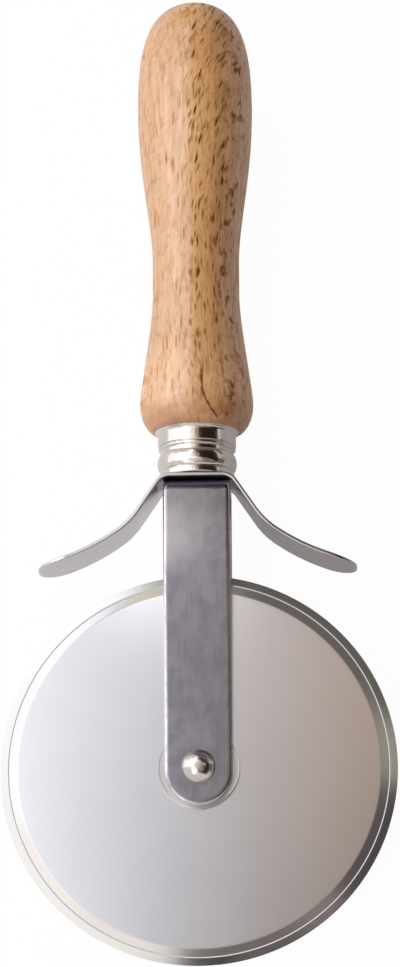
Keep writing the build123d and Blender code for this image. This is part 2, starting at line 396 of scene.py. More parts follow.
# %% Bend the guard
guard_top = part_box("finger_guard")[1].y / MM
guard_half_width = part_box("finger_guard")[1].z / MM
guard_thickness = 1.0
guard_corner = 7.6
guard_edge = (0.5, 0.36)
root_corner = 8.7
root_radius = 4.0
root_turn = 56
wing_run = 11.1
wing_shoulder_radius = 20.0
wing_sweep_radius = 55.0
wing_turn = 21
wing_tip = 2.2
root_tangent = root_radius * math.tan(math.radians(root_turn / 2))
guard_stretches = [
    (root_corner - root_tangent, 0),
    arc(root_radius, -root_turn),
    (wing_run - root_tangent, 0),
    arc(wing_shoulder_radius, wing_turn),
    arc(wing_sweep_radius, wing_turn),
    (wing_tip, 0),
]
guard_half_length = sum(length for length, turn in guard_stretches)
flat, distance = strap(guard_half_length, guard_half_width, guard_thickness, guard_corner,
                       top_edge=guard_edge, under_edge=guard_edge)
out, up, heading = bend(flat[..., 0], guard_stretches)
guard_grid = np.stack([out - np.sin(heading) * flat[..., 2],
                       guard_top - guard_thickness / 2 + up + np.cos(heading) * flat[..., 2],
                       flat[..., 1]], axis=-1)
guard = skin("finger_guard_strap", guard_grid, "frame", "finger_guard",
             uv=strap_map(flat), layers={"from_edge": distance})

# %% [markdown]
# ## The fork
# The fork is a thicker strap bent into a U. Its two arms come down side by side, lean in towards the
# wheel and end parallel again, with half round ends. The outer edges are worn rounder than the inner
# ones by the tumbling, so the two faces get different easing.

# %% Bend the fork
fork_low, fork_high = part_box("fork")
bridge_top = fork_high.y / MM
fork_half_depth = fork_high.z / MM
arm_half_width = fork_high.x / MM
fork_thickness = 2.0
fork_outer_edge = (1.1, 0.75)
fork_inner_edge = (0.45, 0.35)
hub_face = 3.9
bend_radius = 3.2
shoulder_drop = 18.0
shoulder_radius = 150.0
knee_height = 13.3
knee_radius = 60.0
lean = math.atan((fork_half_depth - hub_face) / (bridge_top - shoulder_drop - knee_height))
leaning_run = (fork_half_depth - hub_face) / math.sin(lean)
shoulder_tangent = shoulder_radius * math.tan(lean / 2)
knee_tangent = knee_radius * math.tan(lean / 2)
half_sheet = fork_thickness / 2
fork_stretches = [
    (fork_half_depth - bend_radius, 0),
    arc(bend_radius - half_sheet, -90),
    (shoulder_drop - bend_radius - shoulder_tangent, 0),
    arc(shoulder_radius - half_sheet, -math.degrees(lean)),
    (leaning_run - shoulder_tangent - knee_tangent, 0),
    arc(knee_radius + half_sheet, math.degrees(lean)),
    (knee_height - knee_tangent - fork_low.y / MM, 0),
]
fork_half_length = sum(length for length, turn in fork_stretches)
flat, distance = strap(fork_half_length, arm_half_width, fork_thickness, arm_half_width,
                       top_edge=fork_outer_edge, under_edge=fork_inner_edge)
out, up, heading = bend(flat[..., 0], fork_stretches)
fork_grid = np.stack([flat[..., 1],
                      bridge_top - half_sheet + up + np.cos(heading) * flat[..., 2],
                      out - np.sin(heading) * flat[..., 2]], axis=-1)
fork = skin("fork_strap", fork_grid, "frame", "fork",
            uv=strap_map(flat), layers={"from_edge": distance})

# %% [markdown]
# ## The cutting wheel
# The wheel is a steel disc ground on both sides. Near the rim a first bevel runs down to a fine
# raised step, and a second bevel runs on to the edge. The step is less than a tenth of a millimetre
# high, but it draws the bright ring that the eye knows a pizza wheel by, so it is real geometry.

# %% Turn the wheel
wheel_steps = 360
wheel_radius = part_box("blade")[1].x / MM
half_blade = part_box("blade")[1].z / MM
half_edge = 0.1
blade_bore = 3.09
flat_radius = 45.8
step_radius = 47.85
step_width = 0.26
step_foot = 0.42
step_crest = 0.5
upper_side = [[blade_bore, half_blade], [flat_radius, half_blade], [step_radius, step_foot],
              [step_radius + step_width, step_crest], [wheel_radius, half_edge]]
lower_side = [[radius, -place] for radius, place in upper_side[::-1]]
side_cuts = [0.1, 0.35, 0.08, 0.08, 0.04]
blade_profile = broken_corners(upper_side + lower_side, side_cuts + side_cuts[::-1])
blade = skin("cutting_wheel", turned(blade_profile, wheel_steps, "Z"),
             "wheel", "blade", sharp=60.0)

# %% [markdown]
# ## Washers, rivet and cap
# A spacer washer on each side keeps the wheel off the arms, with a slightly raised lip round its
# outer edge. A solid rivet runs through everything: its head is a shallow dome with the small dish
# that the riveting tool leaves, and a cap of the same form closes the back. All are turned shapes.
# The dish is a half wave of a cosine, which has no edge to shade badly.

# %% Turn the hub pieces
dome_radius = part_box("axle_rivet")[1].x / MM
dome_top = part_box("axle_rivet")[1].z / MM
shank_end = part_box("axle_rivet")[0].z / MM
shank_radius = 2.0
dome_height = dome_top - hub_face
ball_radius = (dome_radius**2 + dome_height**2) / (2 * dome_height)
dome_rows = 28
dish_radius = 1.25
dish_depth = 0.02
seat_edge = 0.14
seat_start = 0.3
socket_clearance = 0.03
rivet_steps = 96
washer_steps = 160
lip_drop = 0.05
lip_width = 0.4
washer_cut = 0.07


def dome(count):
    """A ball's cap from its seat to the middle, less a dish of depth (1 + cos(pi r / R)) / 2."""
    radius = np.append(np.linspace(dome_radius - seat_edge, dish_radius, count)[:-1],
                       np.linspace(dish_radius, 0, count))
    place = np.sqrt(ball_radius**2 - radius**2) - ball_radius + dome_top
    dish = dish_depth * (1 + np.cos(np.pi * np.minimum(radius / dish_radius, 1))) / 2
    seat = bezier([[dome_radius - seat_start, hub_face], [dome_radius, hub_face], [radius[0], place[0]]], 7)
    return np.vstack([seat[:-1], np.stack([radius, place - dish], axis=-1)])


def domed(core_radius, core_end):
    """An outline that starts at the end of a core of the given radius and closes with the dome."""
    core = [[0, core_end], [core_radius, core_end], [core_radius, hub_face]]
    return np.vstack([core, dome(dome_rows)])


rivet = skin("rivet_head", turned(domed(shank_radius, shank_end), rivet_steps, "Z"),
             "frame", "axle_rivet")
cap_profile = domed(shank_radius + socket_clearance, -shank_end + socket_clearance) * [1, -1]
cap = skin("rivet_back_cap", turned(cap_profile, rivet_steps, "Z"),
           "frame", "rivet_cap")
for side in ("front", "rear"):
    low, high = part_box(f"{side}_washer")
    inner, outer = sorted((low.z / MM, high.z / MM), key=abs)
    dished = outer - math.copysign(lip_drop, outer)
    washer_corners = [[blade_bore, inner], [high.x / MM, inner], [high.x / MM, outer],
                      [high.x / MM - lip_width, dished], [blade_bore, dished]]
    skin(f"{side}_spacer_washer", turned(broken_corners(washer_corners, washer_cut), washer_steps, "Z"),
         f"{side}_spacer", f"{side}_washer")

# %% [markdown]
# ## Tools for the finishes
# Every finish is worked out by nodes from the place of a point on the piece, so it stays put when
# the wheel turns and needs no picture. Written out socket by socket, such trees are long, so a few
# small helpers add one node each and hand back its output. Colours are written as the eye sees them,
# as red, green and blue from 0 to 255, and turned into light here.

# %% The node helpers


def shade(red, green, blue):
    """A colour seen on a screen as the light it stands for, by the screen's own curve."""
    seen = np.array([red, green, blue]) / 255
    light = np.where(seen <= 0.04045, seen / 12.92, ((seen + 0.055) / 1.055)**2.4)
    return (*light.tolist(), 1.0)


def put(tree, kind, inputs, output=0, **options):
    """Adds a node with its options and hands back one output.

    Each input is fed with a value or with another node's output.
    """
    node = tree.nodes.new(kind)
    for option, value in options.items():
        setattr(node, option, value)
    for socket, value in inputs.items():
        if isinstance(value, bpy.types.NodeSocket):
            tree.links.new(value, node.inputs[socket])
        else:
            node.inputs[socket].default_value = value
    return node.outputs[output]


def calc(tree, operation, *values):
    """One step of arithmetic."""
    return put(tree, "ShaderNodeMath", dict(enumerate(values)), operation=operation)


def stretch(tree, vector, factors):
    """A vector with each part multiplied by its own factor."""
    return put(tree, "ShaderNodeVectorMath", {0: vector, 1: factors}, operation="MULTIPLY")


def noise(tree, vector, detail=2.0, roughness=0.5, output=0):
    """Cloudy noise with features about one unit across."""
    inputs = {"Vector": vector, "Scale": 1.0, "Detail": detail, "Roughness": roughness}
    return put(tree, "ShaderNodeTexNoise", inputs, output)


def ease(tree, value, low, high, start=0.0, end=1.0):
    """Carries a value from low..high to start..end along a smooth S."""
    inputs = {"Value": value, "From Min": low, "From Max": high, "To Min": start, "To Max": end}
    return put(tree, "ShaderNodeMapRange", inputs, interpolation_type="SMOOTHSTEP")


def mix(tree, factor, first, second):
    """Two colours mixed by a factor."""
    return put(tree, "ShaderNodeMix", {0: factor, 6: first, 7: second}, 2, data_type="RGBA")


# %% [markdown]
# ## Starting a finish
# Each finish is one material on Blender's Principled shader, which does for wood and metal alike. Its
# patterns read the point's place on the piece in millimetres, so the sizes in a finish are real ones.
# A bump tilts the surface where light meets it and moves no points, which is enough for anything as
# fine as a scratch.

# %% The finish helpers


def bump(tree, height, distance):
    """A normal tilted by a height from 0 to 1 that stands for `distance` millimetres."""
    return put(tree, "ShaderNodeBump", {"Height": height, "Distance": distance * MM, "Strength": 1.0})


def place_in_mm(tree):
    """The point's place on the piece, in millimetres."""
    return stretch(tree, put(tree, "ShaderNodeTexCoord", {}, "Object"), (1 / MM, 1 / MM, 1 / MM))


def finish(name):
    """A new material: its node tree and its Principled shader."""
    material = bpy.data.materials.new(name)
    material.use_nodes = True
    shader = material.node_tree.nodes["Principled BSDF"]
    return material, material.node_tree, shader


def feed(tree, shader, **sockets):
    """Links outputs to the shader's sockets, or sets values there. Underscores stand for spaces."""
    for name, value in sockets.items():
        socket = shader.inputs[name.replace("_", " ").title().replace("Ior", "IOR")]
        if isinstance(value, bpy.types.NodeSocket):
            tree.links.new(value, socket)
        else:
            socket.default_value = value


def dress(piece, material):
    """Gives a piece its finish."""
    if piece.material_slots:
        piece.material_slots[0].material = material
    else:
        piece.data.materials.append(material)


# %% [markdown]
# ## Effects that several finishes share
# Hands leave faint patches on everything they hold, tumbled steel is covered with short fine
# scratches that lie every way, and strap has a grain along its length from rolling and edges that
# are rubbed bright. Each of these is built once as a node group with its own inputs, and placed in
# every finish that needs it, with that finish's own values.

# %% The shared node groups


def new_group(name, inputs, outputs):
    """An empty node group with named inputs and outputs, given as (name, kind, starting value)."""
    tree = bpy.data.node_groups.new(name, "ShaderNodeTree")
    for socket, kind, value in inputs:
        made = tree.interface.new_socket(socket, in_out="INPUT", socket_type=kind)
        if value is not None:
            made.default_value = value
    for socket in outputs:
        tree.interface.new_socket(socket, in_out="OUTPUT", socket_type="NodeSocketFloat")
    return tree, tree.nodes.new("NodeGroupInput").outputs, tree.nodes.new("NodeGroupOutput").inputs


def scaled(tree, vector, scale):
    """A vector with all its parts multiplied by one number."""
    return put(tree, "ShaderNodeVectorMath", {0: vector, "Scale": scale}, operation="SCALE")


def handling_group():
    """Faint patches from hands: wide soft clouds, broken by a finer cloud."""
    inputs = [("Place", "NodeSocketVector", None), ("Size", "NodeSocketFloat", 12.0)]
    tree, given, result = new_group("handling_marks", inputs, ["Patch"])
    scale = calc(tree, "DIVIDE", 1.0, given["Size"])
    wide = noise(tree, scaled(tree, given["Place"], scale))
    finer_scale = calc(tree, "MULTIPLY", scale, 5.0)
    finer = noise(tree, scaled(tree, given["Place"], finer_scale), detail=3.0)
    mixed = calc(tree, "MULTIPLY_ADD", finer, 0.35, wide)
    tree.links.new(ease(tree, mixed, 0.45, 0.95), result["Patch"])
    return tree


def scratch_group():
    """Short fine scratches in three directions: noise drawn out thin along each, kept where it peaks."""
    inputs = [("Place", "NodeSocketVector", None), ("Length", "NodeSocketFloat", 4.0),
              ("Width", "NodeSocketFloat", 0.15)]
    tree, given, result = new_group("fine_scratches", inputs, ["Scratch"])
    along = calc(tree, "DIVIDE", 1.0, given["Length"])
    across = calc(tree, "DIVIDE", 1.0, given["Width"])
    scale = put(tree, "ShaderNodeCombineXYZ", {0: across, 1: along, 2: across})
    total = None
    for turn in (0.35, 1.25, 2.4):
        inputs = {"Vector": given["Place"], "Rotation": (turn * 0.6, turn * 0.4, turn)}
        turned_place = put(tree, "ShaderNodeMapping", inputs, vector_type="POINT")
        line = ease(tree, noise(tree, stretch(tree, turned_place, scale), detail=1.0), 0.62, 0.74)
        total = line if total is None else calc(tree, "MAXIMUM", total, line)
    tree.links.new(total, result["Scratch"])
    return tree


def rolled_grain_group():
    """The grain of rolled strap: noise drawn out thin along the strap."""
    inputs = [("Strap", "NodeSocketVector", None), ("Length", "NodeSocketFloat", 18.0),
              ("Width", "NodeSocketFloat", 0.25)]
    tree, given, result = new_group("rolled_grain", inputs, ["Grain"])
    along = calc(tree, "DIVIDE", 1.0, given["Length"])
    across = calc(tree, "DIVIDE", 1.0, given["Width"])
    scale = put(tree, "ShaderNodeCombineXYZ", {0: along, 1: across, 2: 1.0})
    grain = noise(tree, stretch(tree, given["Strap"], scale), detail=4.0, roughness=0.6)
    tree.links.new(grain, result["Grain"])
    return tree


def rubbed_edge_group():
    """Edges rubbed bright: strongest at the outline, fading inwards, broken by a cloud."""
    inputs = [("From Edge", "NodeSocketFloat", 1.0), ("Place", "NodeSocketVector", None),
              ("Reach", "NodeSocketFloat", 0.8)]
    tree, given, result = new_group("rubbed_edge", inputs, ["Rubbed"])
    near = calc(tree, "DIVIDE", given["From Edge"], given["Reach"])
    cloud = noise(tree, stretch(tree, given["Place"], (0.7, 0.7, 0.7)), detail=3.0)
    worn = calc(tree, "MULTIPLY_ADD", cloud, 0.6, calc(tree, "SUBTRACT", 0.7, near))
    tree.links.new(ease(tree, worn, 0.2, 0.9), result["Rubbed"])
    return tree


handling_marks = handling_group()
fine_scratches = scratch_group()
rolled_grain = rolled_grain_group()
rubbed_edge = rubbed_edge_group()


def use(tree, group, **inputs):
    """Places a shared effect in a finish with that finish's own values. Underscores stand for spaces."""
    named = {name.replace("_", " ").title(): value for name, value in inputs.items()}
    return put(tree, "ShaderNodeGroup", named, node_tree=group)


print("shared effects:", ", ".join(group.name for group in bpy.data.node_groups))

# %% [markdown]
# ## The grain of beech
# A turned handle is cut from one plank, so its grain runs straight through it. A picture wrapped round
# the handle would stretch at its ends. So the wood is worked out in its own directions: the grain runs
# along the handle and wanders a little, and the rays, thin plates that run from the heart of the tree
# outwards, lean more the further they lie from the waist.

# %% Follow the grain
heart_turn = math.radians(-16)
wander_reach = (8.0, 0.0, 8.0)
wobble_reach = 2.0
ragged_reach = 0.9
upright_place = 128.0
lean_change = 0.0072


def split(tree, vector):
    """The three parts of a vector."""
    return put(tree, "ShaderNodeSeparateXYZ", {0: vector}).node.outputs


def wood_ways(tree, place):
    """The wood's own directions: its wandering grain, its leaning rays, and the way a point faces.

    The rays lean by half the lean's change times the square of the way from where they are upright.
    """
    turned_place = put(tree, "ShaderNodeMapping", {"Vector": place, "Rotation": (0, heart_turn, 0)})
    wander = noise(tree, stretch(tree, turned_place, (0.05, 0.02, 0.05)), detail=2.0, output=1)
    centred = put(tree, "ShaderNodeVectorMath", {0: wander, 1: (0.5, 0.5, 0.5)}, operation="SUBTRACT")
    grain = put(tree, "ShaderNodeVectorMath",
                {0: centred, 1: wander_reach, 2: turned_place}, operation="MULTIPLY_ADD")
    parts = split(tree, grain)
    wobble = noise(tree, stretch(tree, turned_place, (0.25, 0.09, 0.45)), detail=2.0)
    ragged = noise(tree, stretch(tree, turned_place, (0.9, 0.5, 0.9)), detail=2.0)
    ragged_place = calc(tree, "MULTIPLY_ADD", ragged, ragged_reach, parts[0])
    across = calc(tree, "MULTIPLY_ADD", wobble, wobble_reach, ragged_place)
    from_upright = calc(tree, "POWER", calc(tree, "SUBTRACT", parts[1], upright_place), 2.0)
    leaning = calc(tree, "MULTIPLY_ADD", from_upright, -0.5 * lean_change, across)
    rays = put(tree, "ShaderNodeCombineXYZ", {0: leaning, 1: parts[1], 2: parts[2]})
    from_axis = stretch(tree, turned_place, (1.0, 0.0, 1.0))
    facing_way = split(tree, put(tree, "ShaderNodeVectorMath", {0: from_axis}, operation="NORMALIZE"))
    return grain, parts, rays, facing_way


# %% [markdown]
# ## Flecks
# Beech is known by its rays: where they are cut, they show as short dark lens-shaped flecks, a few
# millimetres long. Spots painted on would look like a print. Here a fleck is a cell with a place
# across the grain and along it, which runs on unchanged into the wood. Flecks come in four sizes, and
# the bold ones crowd into chains where the wood is cut along its rings.

# %% Scatter the flecks
chain_spacing = 0.42
chain_start = -0.2
lot_spread = 0.7
pale_foot = (95.0, 101.0, 112.0)
# The shaded foot is where the flare turns in above the ferrule; the dark laid on there is painted shade.
shaded_foot = (89.0, 97.0)
# Cell size across and along in mm, full up to, gone at, chance
fleck_kinds = {
    "bold": ((1.7, 7.2), 0.08, 0.29, 0.0),
    "short": ((1.2, 4.8), 0.08, 0.36, 0.0),
    "fine": ((0.7, 2.8), 0.08, 0.4, 0.15),
    "stroke": ((1.1, 10.0), 0.06, 0.26, 0.05),
}


def fleck_layer(tree, rays, size, low, high, chance):
    """Lens-shaped flecks: cells of the given size, dark near their middles, each by its own lot.

    A fleck is full up to `low` from the middle and gone at `high`. The cells have no third side, so
    it is the cut end of a plate that runs on into the wood. A cell whose lot is below `chance` shows
    no fleck, and the rest grow darker as the lot grows.
    """
    cell = stretch(tree, rays, (1 / size[0], 1 / size[1], 0.0))
    node = put(tree, "ShaderNodeTexVoronoi", {"Vector": cell, "Scale": 1.0, "Randomness": 1.0}, "Distance",
               voronoi_dimensions="2D").node
    lens = ease(tree, node.outputs["Distance"], high, low)
    lot = put(tree, "ShaderNodeSeparateColor", {"Color": node.outputs["Color"]})
    return calc(tree, "MULTIPLY", lens, ease(tree, lot, chance, chance + lot_spread))


def wood_flecks(tree, grain, parts, rays, facing_way):
    """The four sizes of fleck. Bold ones keep to chains, and bold and short ones thin out to the foot.

    A chain is a peak of cos(2 pi (f - start) / spacing), with f the way that the point faces.
    """
    flat_sawn = ease(tree, calc(tree, "ABSOLUTE", facing_way[2]), 0.87, 0.95)
    chains = noise(tree, stretch(tree, grain, (0.4, 0.05, 0.2)), detail=2.0)
    chain_turn = 2 * math.pi / chain_spacing
    chain_angle = calc(tree, "MULTIPLY_ADD", facing_way[0], chain_turn, -chain_turn * chain_start)
    chain = calc(tree, "MULTIPLY_ADD", chains, 3.0, calc(tree, "COSINE", chain_angle))
    in_chain = ease(tree, chain, 0.7, 2.2, 0.15, 1.0)
    thinned = ease(tree, parts[1], shaded_foot[0], pale_foot[2], 0.3, 1.0)
    crowd = calc(tree, "MULTIPLY", calc(tree, "MULTIPLY", in_chain, flat_sawn), thinned)
    bold = calc(tree, "MULTIPLY", fleck_layer(tree, rays, *fleck_kinds["bold"]), crowd)
    short = fleck_layer(tree, rays, *fleck_kinds["short"])
    short = calc(tree, "MULTIPLY", short, calc(tree, "MULTIPLY_ADD", flat_sawn, 0.8, 0.2))
    short = calc(tree, "MULTIPLY", short, thinned)
    fine = fleck_layer(tree, rays, *fleck_kinds["fine"])
    stroke = fleck_layer(tree, grain, *fleck_kinds["stroke"])
    return bold, short, fine, stroke


print("fleck cells, across and along in mm:", {name: kind[0] for name, kind in fleck_kinds.items()})

# %% [markdown]
# ## Growth rings and a vein
# Each year adds a ring to the tree, with a darker line of late wood at its end. The heart lies behind
# the handle, so a ring is nearly flat there and curves only a little. One dark vein on the front of
# the flare makes the piece its own. It is drawn by the distance from a curve with a formula, which
# stays thin and sharp where noise would blur.

# %% Draw the rings and the vein
ring_spacing = 3.4
heart_distance = 38.0
vein_start = 1.4
vein_bend = 97.0
vein_tail = 8.6
vein_swing = 4.1
vein_waver = 0.9
vein_foot = vein_bend - vein_tail
vein_low = (vein_foot - 0.4, vein_foot + 0.6)
vein_high = (vein_bend + 6.0, vein_bend + 3.0)
vein_front = (0.0, 2.0)
vein_width = (0.9, -0.05)
vein_edge = (0.12, -0.25)


def both(tree, value, first, second):
    """A mask that is up only where two eases of one value are up."""
    return calc(tree, "MULTIPLY", ease(tree, value, *first), ease(tree, value, *second))


def vein_mark(tree, place, waver):
    """One dark vein on the front of the flare: a thin line that runs down and then curves away.

    Its place across is start + swing d^2, with d the way below its bend as a share of the tail.
    """
    parts = split(tree, place)
    share = calc(tree, "DIVIDE", calc(tree, "SUBTRACT", vein_bend, parts[1]), vein_tail)
    below = calc(tree, "MAXIMUM", share, 0.0)
    line = calc(tree, "MULTIPLY_ADD", calc(tree, "POWER", below, 2.0), vein_swing, vein_start)
    line = calc(tree, "MULTIPLY_ADD", waver, vein_waver, line)
    away = calc(tree, "ABSOLUTE", calc(tree, "SUBTRACT", parts[0], line))
    ends = both(tree, parts[1], vein_low, vein_high)
    front = calc(tree, "MULTIPLY", ends, ease(tree, parts[2], *vein_front))
    uneven = noise(tree, stretch(tree, place, (0.0, 0.45, 0.0)))
    width = calc(tree, "MULTIPLY_ADD", uneven, *vein_width)
    return calc(tree, "MULTIPLY", ease(tree, calc(tree, "SUBTRACT", away, width), *vein_edge), front)


def growth_ring(tree, parts):
    """Late wood: the place in a ring, which curves as x^2 / 2 over the distance to the heart."""
    curved = calc(tree, "MULTIPLY", calc(tree, "POWER", parts[0], 2.0), 0.5 / heart_distance)
    ring = calc(tree, "FRACT", calc(tree, "DIVIDE", calc(tree, "ADD", parts[2], curved), ring_spacing))
    return both(tree, ring, (0.1, 0.8), (1.0, 0.8))


print("vein along the handle in mm:", vein_low[0], "to", vein_high[0])

# %% [markdown]
# ## Beech
# Over the grain go the marks of this piece of wood: a darker side, growth rings, fibre and streaks, smudges
# on the right, the flecks and the vein, and a pale foot. Three more are painted light and shade: the paler
# left side is a painted sheen from the soft boxes, the paler far right is a painted reflection along that
# edge, and the dark just above the ferrule is painted shade where the flare turns in. Each is a mask, a
# strength and a colour, so they stand in one list and are laid on in turn. Oil gives the wood a soft sheen,
# which flecks and smudges break.

# %% Mix the beech


def make_beech():
    """Beech: a base tone, the wood's marks and the painted sheen, reflection and shade laid on in turn, and
    an oiled sheen.
    """
    material, tree, shader = finish("beech_wood")
    place = place_in_mm(tree)
    grain, parts, rays, facing_way = wood_ways(tree, place)
    bold, short, fine, stroke = wood_flecks(tree, grain, parts, rays, facing_way)
    tone = noise(tree, stretch(tree, grain, (0.16, 0.02, 0.16)), detail=3.0)
    fibre = noise(tree, stretch(tree, grain, (1.9, 0.2, 1.9)), detail=3.0, roughness=0.6)
    streak = noise(tree, stretch(tree, grain, (1.1, 0.13, 1.1)), detail=2.0, roughness=0.6)
    smudge = noise(tree, stretch(tree, rays, (0.42, 0.3, 0.42)), detail=3.0, roughness=0.6)
    # The left side is painted paler and pinker, a painted sheen from the soft boxes on the left.
    painted_sheen_side = ease(tree, facing_way[0], -0.5, -0.92)
    light_band = both(tree, facing_way[0], (-0.5, -0.2), (0.22, 0.02))
    # The far right edge is painted paler, a painted reflection along that edge.
    painted_rim_reflection = ease(tree, facing_way[0], 0.42, 0.72)
    foot = both(tree, parts[1], (pale_foot[2], pale_foot[1]), (shaded_foot[0], pale_foot[0]))
    # The dark just above the ferrule is painted shade where the flare turns in.
    painted_foot_shade = ease(tree, parts[1], shaded_foot[1], shaded_foot[0])
    smudged_side = both(tree, facing_way[0], (0.18, 0.4), (0.86, 0.6))
    dark_side = calc(tree, "MULTIPLY", ease(tree, smudge, 0.5, 0.68), smudged_side)
    vein = vein_mark(tree, place, streak)
    marks_and_painted_light = (
        # Of these, the paler left side, the paler far right and the dark above the ferrule are painted
        # light and shade.
        (painted_sheen_side, 0.9, (206, 163, 123)),
        (light_band, 0.7, (234, 178, 116)),
        (painted_rim_reflection, 0.9, (232, 186, 148)),
        (foot, 0.42, (244, 196, 146)),
        (painted_foot_shade, 0.45, (178, 110, 70)),
        (growth_ring(tree, parts), 0.14, (168, 108, 58)),
        (ease(tree, fibre, 0.4, 0.7), 0.35, (176, 116, 64)),
        (ease(tree, streak, 0.54, 0.68), 0.5, (172, 114, 66)),
        (smudged_side, 0.12, (160, 96, 54)),
        (dark_side, 0.85, (110, 56, 30)),
        (stroke, 0.55, (170, 116, 78)),
        (fine, 0.35, (150, 94, 52)),
        (short, 0.75, (126, 76, 38)),
        (bold, 0.95, (94, 52, 22)),
        (vein, 0.85, (104, 60, 30)),
    )
    wood = mix(tree, ease(tree, tone, 0.3, 0.7), shade(210, 152, 96), shade(222, 170, 116))
    for mask, strength, colour in marks_and_painted_light:
        wood = mix(tree, calc(tree, "MULTIPLY", mask, strength), wood, shade(*colour))
    patch = use(tree, handling_marks, place=place, size=14.0)
    roughness = calc(tree, "MULTIPLY_ADD", patch, -0.06, ease(tree, fibre, 0.3, 0.7, 0.38, 0.48))
    feed(tree, shader, base_color=wood, roughness=roughness, normal=bump(tree, fibre, 0.012))
    flecks = calc(tree, "MAXIMUM", calc(tree, "MAXIMUM", bold, short), stroke)
    dull = calc(tree, "MAXIMUM", flecks, calc(tree, "MAXIMUM", dark_side, vein))
    oiled = ease(tree, streak, 0.4, 0.66, 1.0, 0.6)
    gloss = calc(tree, "MULTIPLY", calc(tree, "SUBTRACT", 1.0, dull), oiled)
    feed(tree, shader, coat_weight=gloss, specular_ior_level=0.0, coat_roughness=0.26, coat_ior=2.05)
    return material


dress(handle, make_beech())
print("beech:", len(bpy.data.materials["beech_wood"].node_tree.nodes), "nodes")

# %% [markdown]
# ## Polished nickel
# The ferrule and the rivet are nickel plate: mirror-like, with a warm tint. The ferrule is polished
# smooth, while the rivet and its cap were tumbled and are a little duller, so one function makes
# both, each with its own values. A perfect mirror looks like chrome on a screen, so the plate gets
# what real plate has: a faint waviness, fine scratches and dull patches from hands.

# %% Plate the ferrule and the rivet


def feed_metal(tree, shader, colour, roughness, height, depth):
    """Makes the shader a metal of one colour and roughness, with bumps of the given depth in mm."""
    feed(tree, shader, base_color=colour, metallic=1.0, roughness=roughness)
    feed(tree, shader, normal=bump(tree, height, depth))


def make_nickel(name, smooth, rough):
    """Nickel plate: a warm mirror with faint waves, patches and scratches."""
    material, tree, shader = finish(name)
    place = place_in_mm(tree)
    patch = use(tree, handling_marks, place=place, size=7.0)
    scratch = use(tree, fine_scratches, place=place, length=3.0, width=0.12)
    cloud = noise(tree, stretch(tree, place, (0.35, 0.35, 0.35)), detail=2.0)
    colour = mix(tree, ease(tree, cloud, 0.3, 0.7), shade(232, 228, 222), shade(222, 216, 208))
    roughness = calc(tree, "MULTIPLY_ADD", scratch, 0.05, ease(tree, patch, 0.0, 1.0, smooth, rough))
    height = calc(tree, "MULTIPLY_ADD", scratch, 0.3, noise(tree, stretch(tree, place, (0.4, 0.8, 0.4))))
    feed_metal(tree, shader, colour, roughness, height, 0.012)
    return material


dress(ferrule, make_nickel("nickel_plate", 0.07, 0.15))
rivet_nickel = make_nickel("tumbled_nickel", 0.15, 0.22)
for piece in (rivet, cap):
    dress(piece, rivet_nickel)
print("plated:", ferrule.name, rivet.name, cap.name)

# %% [markdown]
# ## Strap steel
# Guard and fork are the same steel in two finishes. The guard is brighter and smoother. The fork was
# tumbled longer, which left it darker and faintly mottled. Both keep the grain of the rolled strap and are
# rubbed bright along the edges, where cloths and fingers touch them. The fork also carries painted light: a
# painted highlight at its upper left that stands in for a reflection, and a painted dark reflection on its
# bend, which is made smooth as well.

# %% Finish the straps
bend_start = bridge_top - bend_radius
# The bend's dark colour is a painted reflection of the dark room over it; its roughness is lowered as well.
bend_shade_rise = (bend_start + 0.35, bend_start + 0.65)
bend_shade_colour = (116, 108, 128)
bend_roughness = 0.1
# The fork's paler upper left is a painted highlight, standing in for a reflection.
painted_light_across = (6.0, -8.0)
painted_light_rise = (46.0, 58.0)
painted_light_fall = (71.0, 61.0)
painted_light_share = 0.33


def strap_in_mm(tree):
    """The place along and across a strap before it was bent, in millimetres."""
    return stretch(tree, put(tree, "ShaderNodeUVMap", {}, uv_map="strap"), (1 / MM, 1 / MM, 1 / MM))


def blend(tree, factor, first, second):
    """Two numbers mixed by a factor."""
    return put(tree, "ShaderNodeMix", {0: factor, 2: first, 3: second}, 0)


def paint_fork_light(tree, place, colour, base, painted_light_colour):
    """Paints the fork's light and shade on a colour and a roughness: the painted highlight, then the bend's
    painted dark reflection, which is also made smoother.
    """
    parts = split(tree, place)
    painted_light = calc(tree, "MULTIPLY", ease(tree, parts[0], *painted_light_across), ease(tree, parts[1], *painted_light_rise))
    painted_light = calc(tree, "MULTIPLY", painted_light, ease(tree, parts[1], *painted_light_fall, 0.3, 1.0))
    colour = mix(tree, calc(tree, "MULTIPLY", painted_light, painted_light_share), colour, shade(*painted_light_colour))
    waver = noise(tree, stretch(tree, place, (0.3, 0.0, 0.0)), detail=2.0)
    painted_shade_bend = ease(tree, calc(tree, "MULTIPLY_ADD", waver, 0.9, parts[1]), *bend_shade_rise)
    colour = mix(tree, calc(tree, "MULTIPLY", painted_shade_bend, 0.9), colour, shade(*bend_shade_colour))
    return colour, blend(tree, painted_shade_bend, base, bend_roughness)


